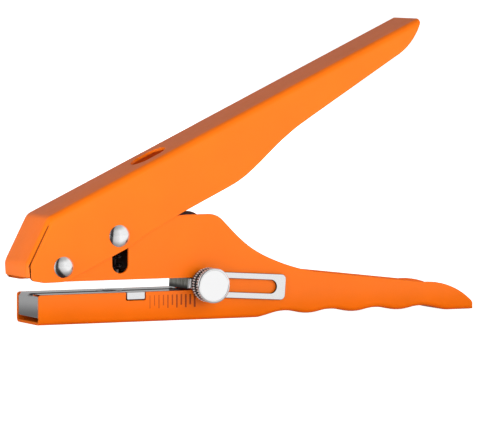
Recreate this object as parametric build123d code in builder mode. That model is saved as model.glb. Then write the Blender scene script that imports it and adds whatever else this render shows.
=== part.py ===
from build123d import *
import math
import os

# Single hole punch with a sliding depth guide, lever open.
# The origin is where the punch's axis meets the table, midway between the side walls.
# +X runs back to the handles, +Z is up, and the depth guide's arm lies on the -Y side.
# All lengths are millimetres and all angles degrees.

# Sheet metal
sheet = 1.2
bend_inside = 0.8
overrun = 40.0

# Frame: one folded channel that is the lower jaw, the upper jaw's walls and the lower handle
frame_length = 198.0
frame_width = 24.0
jaw_height = 12.3
throat_gap = 5.2
throat_depth = 71.0
jaw_tip_radius = 1.2
throat_corner = 1.6
jaw_front_radius = 3.0
jaw_front_setback = 1.5
brow_height = 27.0
hump_height = 43.4
hump_front = 66.0
hump_rear = 75.5
hump_radius = 8.5
hump_turn = 45.0
slope_start = 22.0
slope_start_height = 40.5
flank_length = 50.5
flank_end_height = 18.0
tail_length = 24.0
tail_start_height = 12.3
tail_height = 2.6
tail_lift = 0.2
flank_shares = ((0.28, 0.50), (0.59, 0.80))
tail_bow_shares = (0.60, 0.28)

# Finger hollows along the lower handle
finger_pitch = 21.0
first_finger_from_hump = 34.9
last_finger_from_tail = 24.0
finger_high = 2.35
finger_low = 1.05
ramp_bend_radius = 12.0

# Punch, die and their line
punch_reach = 35.9
punch_radius = 3.0
punch_tip_height = 17.8
punch_tip_hollow = 0.8
punch_head_radius = 5.4
punch_head_thickness = 1.2
die_clearance = 0.08
running_clearance = 0.05
seat_clearance = 0.02

# Pivot and drive pin
pivot_from_front = 10.4
pivot_height = 23.5
drive_from_pivot = 24.5
drive_above_pivot = 12.0
pivot_radius = 2.0
drive_radius = 1.5
spacer_radius = 3.4
pivot_head_radius = 4.3
drive_head_radius = 4.5
head_rim = 1.2
head_height = 2.1
head_ring_shares = (0.40, 0.75)
washer_thickness = 0.6
washer_lip = 2.2
rolled_end_lip = 1.3
rolled_end_height = 0.8
drive_slot_width = 7.1
drive_slot_bottom = 20.2
drive_stop_clearance = 0.1

# Lever
lever_angle = 25.2
lever_gap = 0.2
lever_length = 188.0
lever_top = 21.2
lever_bend = 3.0
nose_reach = 13.8
nose_bend_reach = 3.2
nose_shoulder = 8.2
flap_reach = 15.8
flap_end = 3.1
nose_bend_radius = 5.0
nose_shoulder_radius = 6.0
seam_gap = 0.15
nose_wall_end = 1.4
nose_corner_radius = 2.0
lever_chin_radius = 8.0
lever_lip_share = (-0.055, -0.094)
lever_chin_share = (-0.010, -0.272)
lever_jaw_shares = ((0.152, -0.271), (0.205, -0.206), (0.298, -0.167), (0.425, -0.160))
lever_jaw_radius_shares = (0.04, 0.06, 0.10)
lever_flank_shares = ((0.513, -0.023), (0.575, 0.143), (0.664, 0.292))
lever_tail_shares = ((0.910, 0.551), (0.965, 0.694), (0.998, 0.926))
lever_grip_slope = 7.0
hole_from_pivot = 57.4
hole_length = 15.8
hole_width = 11.0

# Die plate
die_plate_thickness = 1.5
die_plate_before_throat_end = 1.6
die_plate_inset = 0.3
die_plate_bend = 1.9
die_flap_bottom = 2.9
die_plate_side_clearance = 0.05
notch_start = 38.4
notch_length = 8.8
notch_bottom = 8.9
notch_corner = 0.6
tab_clearance = 0.4
ring_radius = 5.5
ring_flange_radius = 6.4
ring_flange_thickness = 1.1
ring_proud = 0.1

# Punch guide in the upper jaw
guide_drop = 0.05
bracket_length = 24.0
bracket_flange = 2.4
bush_radius = 4.1
bush_height = 3.6

# Return spring round the punch
spring_wire = 0.7
spring_mean_radius = 4.85
spring_turns = 3.5
spring_seat_gap = 0.05
arcs_per_turn = 4
wire_sides = 6

# Depth guide and its thumb screw
screw_behind_throat = 2.3
screw_height = 14.65
arm_tilt = 3.8
arm_gap = 0.1
arm_height = 10.6
arm_rear = 36.3
arm_corner = 2.0
arm_slot_height = 5.6
arm_slot_front = 3.5
arm_slot_rear = 32.3
arm_front = 6.0
neck_height = 3.8
stop_height = 4.5
stop_from_screw = 7.0
stop_far_side = 8.0
guide_bend_inside = 0.5
screw_radius = 1.5
screw_point = 8.0
knob_radius = 7.2
knob_length = 8.3
knob_collar_radius = 3.6
knob_collar_length = 0.5
knob_chamfer = 0.6
knob_groove_depth = 0.6
knob_groove_width = 0.8
knob_groove_share = 0.42
nut_flats = 5.5
nut_thickness = 2.4

os.makedirs("parts", exist_ok=True)

# Places that follow from the sizes
front = -punch_reach
frame_half = frame_width / 2
inner_half = frame_half - sheet
lever_inner = frame_half + lever_gap
lever_outer = lever_inner + sheet
jaw_top = jaw_height + throat_gap
pivot_x = front + pivot_from_front
drive_x = pivot_x + drive_from_pivot
drive_height = pivot_height + drive_above_pivot
screw_from_front = throat_depth + screw_behind_throat
screw_x = front + screw_from_front
frame_side = Plane(origin=(front, 0, 0), x_dir=(1, 0, 0), z_dir=(0, -1, 0))
tilt = math.radians(lever_angle)
lever_side = Plane(
    origin=(pivot_x, 0, pivot_height),
    x_dir=(math.cos(tilt), 0, math.sin(tilt)),
    z_dir=(0, -1, 0),
)
arm_lean = math.radians(arm_tilt)
arm_side = Plane(
    origin=(screw_x, 0, screw_height),
    x_dir=(math.cos(arm_lean), 0, -math.sin(arm_lean)),
    z_dir=(0, -1, 0),
)


def export(part, name):
    """Label a finished piece and write it under its name."""
    part.label = name
    export_step(part, f"parts/{name}.step")


def inset(points, distance):
    """Move an open outline to its right by a distance, with sharp corners."""
    lines = []
    for a, b in zip(points, points[1:]):
        step = (Vector(*b) - Vector(*a)).normalized()
        side = Vector(step.Y, -step.X) * distance
        lines.append((Vector(*a) + side, Vector(*b) + side))
    moved = [lines[0][0]]
    for (a, b), (c, d) in zip(lines, lines[1:]):
        u = b - a
        v = d - c
        w = c - a
        reach = (w.X * v.Y - w.Y * v.X) / (u.X * v.Y - u.Y * v.X)
        moved.append(a + u * reach)
    moved.append(lines[-1][1])
    return [(point.X, point.Y) for point in moved]


def at_height(low, high, height):
    """The place at this height on the straight line through two points."""
    share = (height - low[1]) / (high[1] - low[1])
    return low[0] + share * (high[0] - low[0]), height


def dome_rise(radius, height, across):
    """How far a dome of this radius and height stands out, this far from its middle."""
    ball = (radius**2 + height**2) / (2 * height)
    return math.sqrt(ball**2 - across**2) - (ball - height)


# The finger hollows are arcs that meet halfway up, where they are steepest.
finger_middle = (finger_high + finger_low) / 2
finger_rise = (finger_high - finger_low) / 2
quarter_pitch = finger_pitch / 4
finger_bow = (quarter_pitch**2 + finger_rise**2) / (2 * finger_rise)
ramp_angle = math.degrees(math.asin(quarter_pitch / finger_bow))
ramp_run = math.cos(math.radians(ramp_angle))
ramp_climb = math.sin(math.radians(ramp_angle))
bend_run = ramp_bend_radius * math.tan(math.radians(ramp_angle / 2))
first_finger = hump_rear + first_finger_from_hump
finger_room = frame_length - last_finger_from_tail - first_finger
finger_count = 1 + int(finger_room / finger_pitch)
last_finger = first_finger + (finger_count - 1) * finger_pitch
jaw_flat_end = first_finger - quarter_pitch - finger_middle * ramp_run / ramp_climb - bend_run


def finger_path(lift):
    """The underside behind the jaw's flat: a ramp, the finger hollows and a ramp down to the tail."""
    middle = lift + finger_middle
    tail_floor = lift + tail_lift
    ramp_top = jaw_flat_end + bend_run * (1 + ramp_run)
    JernArc((jaw_flat_end, lift), (1, 0), ramp_bend_radius, ramp_angle)
    Line((ramp_top, lift + bend_run * ramp_climb), (first_finger - quarter_pitch, middle))
    for index in range(finger_count):
        crest = first_finger + index * finger_pitch
        ThreePointArc(
            (crest - quarter_pitch, middle),
            (crest, lift + finger_high),
            (crest + quarter_pitch, middle),
        )
        if index < finger_count - 1:
            ThreePointArc(
                (crest + quarter_pitch, middle),
                (crest + 2 * quarter_pitch, lift + finger_low),
                (crest + 3 * quarter_pitch, middle),
            )
    ramp_end = last_finger + quarter_pitch + (middle - tail_floor) * ramp_run / ramp_climb
    ramp_low = (ramp_end - bend_run * ramp_run, tail_floor + bend_run * ramp_climb)
    Line((last_finger + quarter_pitch, middle), ramp_low)
    JernArc(ramp_low, (ramp_run, -ramp_climb), ramp_bend_radius, ramp_angle)
    Line((ramp_end + bend_run, tail_floor), (frame_length, tail_floor))


# Frame shell. The channel's inside is two blocks, the jaw's with rounded bends at its floor.
with BuildPart() as jaw_inside:
    with BuildSketch(frame_side):
        with Locations((jaw_flat_end, sheet)):
            Rectangle(jaw_flat_end + overrun, hump_height, align=(Align.MAX, Align.MIN))
    extrude(amount=inner_half, both=True)
    fillet(jaw_inside.edges().filter_by(Axis.X).group_by(Axis.Z)[0], radius=bend_inside)

with BuildPart() as handle_inside:
    with BuildSketch(frame_side):
        with BuildLine():
            finger_path(sheet)
            Polyline(
                (frame_length, sheet + tail_lift),
                (frame_length + overrun, sheet + tail_lift),
                (frame_length + overrun, sheet + hump_height),
                (jaw_flat_end, sheet + hump_height),
                (jaw_flat_end, sheet),
            )
        make_face()
    extrude(amount=inner_half, both=True)

flank_end = hump_rear + flank_length
grip_end = frame_length - tail_length
flank_run = hump_radius * math.sin(math.radians(hump_turn))
flank_fall = hump_radius * (1 - math.cos(math.radians(hump_turn)))
flank_start = (hump_rear + flank_run, hump_height - flank_fall)
flank_points = [flank_start]
for along, down in flank_shares:
    flank_points.append((
        flank_start[0] + along * (flank_end - flank_start[0]),
        flank_start[1] - down * (flank_start[1] - flank_end_height),
    ))
flank_points.append((flank_end, flank_end_height))
grip_fall = (flank_end_height - tail_start_height) / (grip_end - flank_end)
tail_bow = (
    grip_end + tail_bow_shares[0] * (frame_length - grip_end),
    tail_start_height - tail_bow_shares[1] * (tail_start_height - tail_height),
)

with BuildPart() as frame_shell:
    with BuildSketch(frame_side):
        with BuildLine():
            Line((0, 0), (jaw_flat_end, 0))
            finger_path(0)
            Line((frame_length, tail_lift), (frame_length, tail_height))
            ThreePointArc((frame_length, tail_height), tail_bow, (grip_end, tail_start_height))
            Line((grip_end, tail_start_height), (flank_end, flank_end_height))
            Spline(
                *reversed(flank_points),
                tangents=((-1, grip_fall), (-1, math.tan(math.radians(hump_turn)))),
            )
            JernArc(
                (hump_rear, hump_height), (1, 0), hump_radius, -hump_turn,
            )
            FilletPolyline(
                (hump_rear, hump_height),
                (hump_front, hump_height),
                (slope_start, slope_start_height),
                (jaw_front_setback, brow_height),
                (jaw_front_setback, jaw_top),
                (throat_depth, jaw_top),
                (throat_depth, jaw_height),
                (0, jaw_height),
                (0, 0),
                radius=(
                    hump_radius, hump_radius, jaw_front_radius, jaw_front_radius,
                    throat_corner, throat_corner, jaw_tip_radius,
                ),
            )
        make_face()
    extrude(amount=frame_half, both=True)
    bottom_edges = frame_shell.edges().filter_by(
        lambda e: e.center().Z < finger_high + seat_clearance
        and abs(abs(e.center().Y) - frame_half) < seat_clearance
    )
    fillet(bottom_edges, radius=bend_inside + sheet)
    add(jaw_inside.part, mode=Mode.SUBTRACT)
    add(handle_inside.part, mode=Mode.SUBTRACT)
    slot_reach = drive_slot_width / 2 - drive_radius
    slot_rise = math.sqrt(slot_reach**2 - drive_x**2)
    slot_top_centre = drive_height + drive_stop_clearance - slot_rise
    slot_low_centre = drive_slot_bottom + drive_slot_width / 2
    slot_middle = (slot_top_centre + slot_low_centre) / 2
    with BuildSketch(frame_side):
        with Locations((punch_reach, slot_middle)):
            SlotCenterToCenter(
                slot_top_centre - slot_low_centre, drive_slot_width, rotation=90
            )
        with Locations((pivot_from_front, pivot_height)):
            Circle(pivot_radius + running_clearance)
    extrude(amount=frame_width, both=True, mode=Mode.SUBTRACT)
    with BuildSketch(frame_side):
        with Locations((screw_from_front, screw_height)):
            Circle(screw_radius + running_clearance)
    extrude(amount=frame_width, mode=Mode.SUBTRACT)
    with BuildSketch(frame_side) as notch_face:
        with Locations((notch_start + notch_length / 2, notch_bottom)):
            Rectangle(notch_length, overrun, align=(Align.CENTER, Align.MIN))
        fillet(notch_face.vertices().group_by(Axis.Y)[0], radius=notch_corner)
        with Locations((notch_start + notch_length / 2, jaw_height + throat_gap / 2)):
            Rectangle(
                notch_length * 2, overrun, align=(Align.CENTER, Align.MIN), mode=Mode.SUBTRACT
            )
    extrude(amount=frame_width, both=True, mode=Mode.SUBTRACT)
export(frame_shell.part, "frame_shell")

# Die plate: closes the lower jaw on top and folds down at its front and in the walls' notches.
plate_half = inner_half - die_plate_side_clearance
die_plate_length = throat_depth - die_plate_before_throat_end
plate_path = [
    (die_plate_inset, die_flap_bottom),
    (die_plate_inset, jaw_height),
    (die_plate_length, jaw_height),
]
plate_inside = inset(plate_path, die_plate_thickness)
tab_length = notch_length - 2 * tab_clearance
with BuildPart() as die_tabs:
    with BuildSketch(frame_side) as tab_face:
        with Locations((notch_start + notch_length / 2, jaw_height)):
            Rectangle(
                tab_length, jaw_height - notch_bottom - tab_clearance,
                align=(Align.CENTER, Align.MAX),
            )
        fillet(tab_face.vertices().group_by(Axis.Y)[0], radius=notch_corner)
    extrude(amount=frame_half, both=True)
    extrude(
        tab_face.sketch, amount=frame_half - die_plate_thickness, both=True, mode=Mode.SUBTRACT
    )

with BuildPart() as die_plate:
    with BuildSketch(frame_side):
        with BuildLine():
            FilletPolyline(*plate_path, radius=die_plate_bend)
            FilletPolyline(*plate_inside, radius=die_plate_bend - die_plate_thickness)
            Line(plate_path[0], plate_inside[0])
            Line(plate_path[-1], plate_inside[-1])
        make_face()
    extrude(amount=plate_half, both=True)
    with BuildSketch(Plane.XY.offset(jaw_height - die_plate_thickness)):
        with Locations((front + notch_start + notch_length / 2, 0)):
            Rectangle(tab_length, frame_width)
    extrude(amount=die_plate_thickness)
    add(die_tabs.part)
    with BuildSketch(Plane.XY):
        Circle(ring_radius)
    extrude(amount=jaw_height, mode=Mode.SUBTRACT)
export(die_plate.part, "die_plate")

# Die ring: the hardened ring that the punch cuts against, pressed in from below.
ring_top = jaw_height + ring_proud
plate_under = jaw_height - die_plate_thickness
die_hole = punch_radius + die_clearance
with BuildPart() as die_ring:
    with BuildSketch(Plane.XZ):
        with BuildLine():
            Polyline(
                (die_hole, ring_top),
                (ring_radius, ring_top),
                (ring_radius, plate_under),
                (ring_flange_radius, plate_under),
                (ring_flange_radius, plate_under - ring_flange_thickness),
                (die_hole, plate_under - ring_flange_thickness),
                close=True,
            )
        make_face()
    revolve(axis=Axis.Z)
export(die_ring.part, "die_ring")

# Guide bracket: a shallow channel welded between the upper jaw's walls.
bracket_low = jaw_top + guide_drop
bracket_top = bracket_low + sheet
with BuildPart() as guide_bracket:
    with BuildSketch(Plane.YZ.offset(-bracket_length / 2)) as bracket_face:
        with Locations((0, bracket_low)):
            Rectangle(2 * inner_half, bracket_flange, align=(Align.CENTER, Align.MIN))
        fillet(
            bracket_face.vertices().group_by(Axis.Y)[0],
            radius=bend_inside + sheet,
        )
        with Locations((0, bracket_top)):
            Rectangle(
                2 * (inner_half - sheet), bracket_flange,
                align=(Align.CENTER, Align.MIN), mode=Mode.SUBTRACT,
            )
    extrude(amount=bracket_length)
    with BuildSketch(Plane.XY.offset(bracket_low)):
        Circle(bush_radius)
    extrude(amount=bracket_flange, mode=Mode.SUBTRACT)
export(guide_bracket.part, "guide_bracket")

# Guide bush: the collar that the punch slides in.
with BuildPart() as guide_bush:
    with BuildSketch(Plane.XZ):
        with BuildLine():
            Polyline(
                (punch_radius + running_clearance, bracket_low),
                (bush_radius, bracket_low),
                (bush_radius, bracket_low + bush_height),
                (punch_radius + running_clearance, bracket_low + bush_height),
                close=True,
            )
        make_face()
    revolve(axis=Axis.Z)
export(guide_bush.part, "guide_bush")

# Punch pin: a hollow-ground tip, a straight shank and the head that the drive rivet presses.
head_top = drive_height - drive_radius - running_clearance
head_under = head_top - punch_head_thickness
with BuildPart() as punch_pin:
    with BuildSketch(Plane.XZ):
        with BuildLine():
            Polyline(
                (0, punch_tip_height + punch_tip_hollow),
                (punch_radius, punch_tip_height),
                (punch_radius, head_under),
                (punch_head_radius, head_under),
                (punch_head_radius, head_top),
                (0, head_top),
                close=True,
            )
        make_face()
    revolve(axis=Axis.Z)
export(punch_pin.part, "punch_pin")

# Return spring: one wire wound round the punch, from the bracket up to the punch's head.
wire_radius = spring_wire / 2
coil_low = bracket_top + wire_radius + spring_seat_gap
coil_high = head_under - wire_radius - spring_seat_gap
coil_pitch = (coil_high - coil_low) / spring_turns


def coil_point(turns):
    """A point of the helix, so many turns from its lower end."""
    angle = math.tau * turns
    return Vector(
        spring_mean_radius * math.cos(angle),
        spring_mean_radius * math.sin(angle),
        coil_low + coil_pitch * turns,
    )


def coil_direction(turns):
    """The direction in which the helix runs at that point."""
    angle = math.tau * turns
    return Vector(
        -math.tau * spring_mean_radius * math.sin(angle),
        math.tau * spring_mean_radius * math.cos(angle),
        coil_pitch,
    ).normalized()


def biarc(start, start_way, end, end_way):
    """Two arcs that share a tangent where they meet, between two points with given directions."""
    gap = end - start
    both = start_way + end_way
    bend = 2 * (1 - start_way.dot(end_way))
    along = gap.dot(both)
    reach = (-along + math.sqrt(along**2 + bend * gap.dot(gap))) / bend
    joint = (start + end + (start_way - end_way) * reach) * 0.5
    joint_way = ((end - end_way * reach) - (start + start_way * reach)).normalized()
    TangentArc(start, joint, tangent=start_way)
    TangentArc(joint, end, tangent=joint_way)


with BuildPart() as return_spring:
    with BuildLine() as coil_line:
        coil_steps = int(spring_turns * arcs_per_turn)
        Line(coil_point(0) - coil_direction(0) * spring_wire, coil_point(0))
        for step in range(coil_steps):
            lower = step / arcs_per_turn
            upper = (step + 1) / arcs_per_turn
            biarc(
                coil_point(lower), coil_direction(lower),
                coil_point(upper), coil_direction(upper),
            )
        coil_end = coil_steps / arcs_per_turn
        Line(coil_point(coil_end), coil_point(coil_end) + coil_direction(coil_end) * spring_wire)
    with BuildSketch(Plane(origin=coil_line.line @ 0, z_dir=coil_line.line % 0)):
        RegularPolygon(wire_radius, wire_sides)
    sweep()
export(return_spring.part, "return_spring")

coil_samples = [
    coil_point(index / (arcs_per_turn**3))
    for index in range(int(spring_turns * arcs_per_turn**3) + 1)
]
coil_gap = min(
    (coil_samples[i] - coil_samples[j]).length
    for i in range(len(coil_samples))
    for j in range(i + arcs_per_turn**3 // 2, len(coil_samples))
) - spring_wire
print(f"return spring: least gap to itself {coil_gap:.2f} mm")


def rivet(name, x, height, radius, head_radius):
    """A rivet with a domed head on the near lever wall and a rolled end on the far one."""
    rim = -lever_outer - head_rim
    dome = head_height - head_rim
    rings = [head_radius * share for share in head_ring_shares]
    rolled = lever_outer + washer_thickness
    with BuildPart() as post:
        with BuildSketch(Plane(origin=(x, 0, height), x_dir=(1, 0, 0), z_dir=(0, 0, 1))):
            with BuildLine():
                Polyline(
                    (0, rim - dome),
                    *[(ring, rim - dome_rise(head_radius, dome, ring)) for ring in rings],
                    (head_radius, rim),
                    (head_radius, -lever_outer),
                    (radius, -lever_outer),
                    (radius, rolled),
                    (radius + rolled_end_lip, rolled),
                    (radius + rolled_end_lip / 2, rolled + rolled_end_height),
                    (0, rolled + rolled_end_height),
                    close=True,
                )
            make_face()
        revolve(axis=Axis((x, 0, height), (0, 1, 0)))
    export(post.part, f"{name}_rivet")


rivet("pivot", pivot_x, pivot_height, pivot_radius, pivot_head_radius)
rivet("drive", drive_x, drive_height, drive_radius, drive_head_radius)


def rivet_washer(name, x, height, radius):
    """The washer under a rivet's rolled end, on the lever's far wall."""
    with BuildPart() as washer:
        with BuildSketch(Plane(origin=(x, lever_outer, height), z_dir=(0, 1, 0))):
            Circle(radius + washer_lip)
            Circle(radius + seat_clearance, mode=Mode.SUBTRACT)
        extrude(amount=washer_thickness)
    export(washer.part, f"{name}_washer")


rivet_washer("pivot", pivot_x, pivot_height, pivot_radius)
rivet_washer("drive", drive_x, drive_height, drive_radius)

# Pivot spacer: the tube that holds the upper jaw's walls apart round the pivot.
with BuildPart() as pivot_spacer:
    with BuildSketch(frame_side):
        with Locations((pivot_from_front, pivot_height)):
            Circle(spacer_radius)
            Circle(pivot_radius + running_clearance, mode=Mode.SUBTRACT)
    extrude(amount=inner_half, both=True)
export(pivot_spacer.part, "pivot_spacer")

# Lever shell: an inverted channel whose top folds down over the nose as a flap.
flap_line = [
    (-flap_reach, flap_end),
    (-nose_reach, nose_shoulder),
    (nose_bend_reach, lever_top),
    (nose_bend_reach + 2 * nose_bend_radius, lever_top),
]
flap_inside = inset(flap_line, sheet)
flap_behind = inset(flap_line, nose_shoulder_radius)
wall_front = inset(flap_line, sheet + seam_gap)
seam_top_height = lever_top - lever_bend
seam_top = at_height(wall_front[1], wall_front[2], seam_top_height)


def on_lever(shares):
    """A place on the lever's side, from shares of its length and of its height."""
    return shares[0] * lever_length, shares[1] * lever_top


jaw_points = [
    wall_front[1],
    at_height(wall_front[0], wall_front[1], nose_wall_end),
    on_lever(lever_lip_share),
    on_lever(lever_chin_share),
    *[on_lever(place) for place in lever_jaw_shares],
]
flank = [on_lever(place) for place in lever_flank_shares]
tail = [on_lever(place) for place in lever_tail_shares]
grip_slope = math.tan(math.radians(lever_grip_slope))

nose_slope = (Vector(*flap_line[2]) - Vector(*flap_line[1])).normalized()
flap_depths = [-(sheet + seam_gap), -seam_gap, nose_shoulder_radius - sheet - seam_gap]
flap_top, flap_top_inside, flap_top_behind = [
    (seam_top[0] + nose_slope.Y * depth, seam_top[1] - nose_slope.X * depth)
    for depth in flap_depths
]
cavity_foot = at_height(flap_inside[0], flap_inside[1], -overrun)
up_and_forward = lever_side.y_dir - lever_side.x_dir


def long_edges(part, half_width):
    """The corners of a channel's top and nose, where they are this far from its middle."""
    outer_faces = part.faces().filter_by(
        lambda face: face.normal_at().dot(up_and_forward) > 0
        and face.area > 4 * sheet * half_width
    )
    return outer_faces.edges().filter_by(
        lambda edge: abs(abs(edge.center().Y) - half_width) < seat_clearance
    )


with BuildPart() as lever_inside:
    with BuildSketch(lever_side):
        with BuildLine():
            FilletPolyline(
                cavity_foot,
                *flap_inside[1:3],
                (lever_length + overrun, lever_top - sheet),
                radius=(nose_shoulder_radius - sheet, nose_bend_radius - sheet),
            )
            Polyline(
                (lever_length + overrun, lever_top - sheet),
                (lever_length + overrun, -overrun),
                cavity_foot,
            )
        make_face()
    extrude(amount=lever_inner, both=True)
    fillet(long_edges(lever_inside, lever_inner), radius=lever_bend - sheet)

with BuildPart() as nose_flap:
    with BuildSketch(lever_side):
        with BuildLine():
            FilletPolyline(*flap_line[:2], flap_top, radius=nose_shoulder_radius)
            Polyline(flap_top, flap_top_behind, flap_behind[1], flap_behind[0], flap_line[0])
        make_face()
    extrude(amount=lever_outer, both=True)
    fillet(long_edges(nose_flap, lever_outer), radius=lever_bend)
    with BuildSketch(lever_side):
        with BuildLine():
            FilletPolyline(
                *flap_inside[:2], flap_top_inside, radius=nose_shoulder_radius - sheet
            )
            Polyline(
                flap_top_inside, flap_top_behind, flap_behind[1], flap_behind[0], flap_inside[0]
            )
        make_face()
    extrude(amount=lever_outer, both=True, mode=Mode.SUBTRACT)

with BuildPart() as lever_shell:
    with BuildSketch(lever_side):
        with BuildLine():
            FilletPolyline(
                seam_top,
                *jaw_points,
                radius=(
                    nose_shoulder_radius - sheet,
                    nose_corner_radius,
                    lever_chin_radius,
                    lever_chin_radius,
                    *[share * lever_length for share in lever_jaw_radius_shares],
                ),
            )
            Spline(
                jaw_points[-1], *flank,
                tangents=((1, 0), (1, grip_slope)),
            )
            Line(flank[-1], tail[0])
            ThreePointArc(tail[0], tail[1], tail[2])
            Line(tail[2], (lever_length, lever_top))
            FilletPolyline(
                (lever_length, lever_top), flap_line[2], flap_top, radius=nose_bend_radius
            )
            Line(flap_top, seam_top)
        make_face()
    extrude(amount=lever_outer, both=True)
    fillet(
        long_edges(lever_shell, lever_outer).filter_by(
            lambda edge: lever_side.to_local_coords(edge.center()).Y > seam_top_height
        ),
        radius=lever_bend,
    )
    add(lever_inside.part, mode=Mode.SUBTRACT)
    add(nose_flap.part)
    with BuildSketch(lever_side):
        Circle(pivot_radius + seat_clearance)
        with Locations(
            (
                drive_from_pivot * math.cos(tilt) + drive_above_pivot * math.sin(tilt),
                drive_above_pivot * math.cos(tilt) - drive_from_pivot * math.sin(tilt),
            )
        ):
            Circle(drive_radius + seat_clearance)
    extrude(amount=2 * lever_outer, both=True, mode=Mode.SUBTRACT)
    lever_roof = Plane(
        origin=lever_side.from_local_coords((hole_from_pivot, lever_top - sheet / 2, 0)),
        x_dir=lever_side.x_dir,
        z_dir=lever_side.y_dir,
    )
    with BuildSketch(lever_roof):
        SlotOverall(hole_length, hole_width)
    extrude(amount=sheet, both=True, mode=Mode.SUBTRACT)
export(lever_shell.part, "lever_shell")

# Depth guide: a stop plate across the throat, folded into a slotted arm outside the near wall.
arm_inner = frame_half + arm_gap
arm_outer = arm_inner + sheet
stop_front = -stop_from_screw
bend_outside = guide_bend_inside + sheet
with BuildPart() as depth_guide:
    with BuildSketch(arm_side.offset(arm_inner)):
        with Locations((arm_rear, 0)):
            RectangleRounded(
                2 * arm_corner + arm_height, arm_height, arm_corner, align=(Align.MAX, Align.CENTER)
            )
        with Locations(((arm_height / 2 - arm_front + arm_rear - arm_corner) / 2, 0)):
            Rectangle(arm_rear - arm_corner - (arm_height / 2 - arm_front), arm_height)
        with Locations((arm_height / 2 - arm_front, 0)):
            Circle(arm_height / 2)
        with Locations((stop_front + bend_outside, 0)):
            Rectangle(
                stop_from_screw - bend_outside, neck_height, align=(Align.MIN, Align.CENTER)
            )
        with Locations(((arm_slot_rear - arm_slot_front) / 2, 0)):
            SlotOverall(arm_slot_rear + arm_slot_front, arm_slot_height, mode=Mode.SUBTRACT)
    extrude(amount=sheet)
    corner = Plane(
        origin=arm_side.from_local_coords((0, 0, 0)), x_dir=arm_side.x_dir, z_dir=arm_side.y_dir
    )
    with BuildSketch(corner):
        with BuildLine():
            Polyline(
                (stop_front, -arm_inner + guide_bend_inside),
                (stop_front, stop_far_side),
                (stop_front + sheet, stop_far_side),
                (stop_front + sheet, -arm_inner + guide_bend_inside),
                close=True,
            )
        make_face()
    extrude(amount=stop_height / 2, both=True)
    with BuildSketch(corner):
        with Locations((stop_front + bend_outside, -arm_inner + guide_bend_inside)):
            Circle(bend_outside)
            Circle(guide_bend_inside, mode=Mode.SUBTRACT)
        with Locations((stop_front, -arm_inner + guide_bend_inside)):
            Rectangle(
                2 * bend_outside, 2 * bend_outside, align=(Align.MIN, Align.MIN),
                mode=Mode.SUBTRACT,
            )
        with Locations((stop_front + bend_outside, -arm_outer)):
            Rectangle(
                2 * bend_outside, 2 * bend_outside, align=(Align.MIN, Align.MIN),
                mode=Mode.SUBTRACT,
            )
    extrude(amount=neck_height / 2, both=True)
export(depth_guide.part, "depth_guide")

# Thumb screw: a chromed knob with two raised bands, a collar and a threaded shank.
screw_centre = Plane(origin=(screw_x, 0, screw_height), x_dir=(1, 0, 0), z_dir=(0, 0, 1))
collar_face = arm_outer + arm_gap
knob_base = collar_face + knob_collar_length
knob_face = knob_base + knob_length
groove = knob_base + knob_groove_share * knob_length
with BuildPart() as thumb_screw:
    with BuildSketch(screw_centre):
        with BuildLine():
            Polyline(
                (0, -screw_point),
                (screw_radius, -screw_point),
                (screw_radius, -collar_face),
                (knob_collar_radius, -collar_face),
                (knob_collar_radius, -knob_base),
                (knob_radius, -knob_base),
                (knob_radius, -groove),
                (knob_radius - knob_groove_depth, -groove),
                (knob_radius - knob_groove_depth, -groove - knob_groove_width),
                (knob_radius, -groove - knob_groove_width),
                (knob_radius, -knob_face + knob_chamfer),
                (knob_radius - knob_chamfer, -knob_face),
                (0, -knob_face),
                close=True,
            )
        make_face()
    revolve(axis=Axis((screw_x, 0, screw_height), (0, 1, 0)))
export(thumb_screw.part, "thumb_screw")

# Clamp nut: welded inside the near wall for the thumb screw.
with BuildPart() as clamp_nut:
    with BuildSketch(frame_side.offset(inner_half - nut_thickness)):
        with Locations((screw_from_front, screw_height)):
            RegularPolygon(nut_flats / 2, 6, major_radius=False)
            Circle(screw_radius + running_clearance, mode=Mode.SUBTRACT)
    extrude(amount=nut_thickness)
export(clamp_nut.part, "clamp_nut")
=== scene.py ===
import math

import bmesh
import bpy
import numpy as np
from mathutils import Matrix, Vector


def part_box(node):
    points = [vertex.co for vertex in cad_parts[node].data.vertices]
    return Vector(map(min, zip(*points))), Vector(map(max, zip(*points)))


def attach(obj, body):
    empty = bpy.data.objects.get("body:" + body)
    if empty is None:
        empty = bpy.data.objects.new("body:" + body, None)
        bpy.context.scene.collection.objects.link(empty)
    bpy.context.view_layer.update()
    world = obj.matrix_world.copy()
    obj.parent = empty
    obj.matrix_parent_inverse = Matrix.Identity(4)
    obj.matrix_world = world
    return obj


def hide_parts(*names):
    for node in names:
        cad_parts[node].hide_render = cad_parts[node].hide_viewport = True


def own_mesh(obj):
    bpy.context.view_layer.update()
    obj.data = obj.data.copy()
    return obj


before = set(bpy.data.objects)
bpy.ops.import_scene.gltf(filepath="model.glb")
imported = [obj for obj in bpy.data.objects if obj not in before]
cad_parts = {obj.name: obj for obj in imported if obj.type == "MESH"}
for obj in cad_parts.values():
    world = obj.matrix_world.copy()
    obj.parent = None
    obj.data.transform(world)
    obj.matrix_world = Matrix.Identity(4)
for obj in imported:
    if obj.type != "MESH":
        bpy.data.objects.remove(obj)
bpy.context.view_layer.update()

bl_info = {
    "name": "Single hole punch",
    "version": (1, 0, 0),
    "blender": (4, 5, 0),
    "location": "3D View > Sidebar > Punch",
    "description": "Dresses a single hole punch with its coats, knurls, ruler marks and studio",
    "category": "Object",
}

MM = 0.001
TAU = math.tau


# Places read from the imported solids, in metres
def low(node):
    """The lowest corner of a node's box."""
    return np.array(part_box(node)[0])


def high(node):
    """The highest corner of a node's box."""
    return np.array(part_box(node)[1])


def middle(node):
    """The middle of a node's box."""
    return (low(node) + high(node)) / 2


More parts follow.
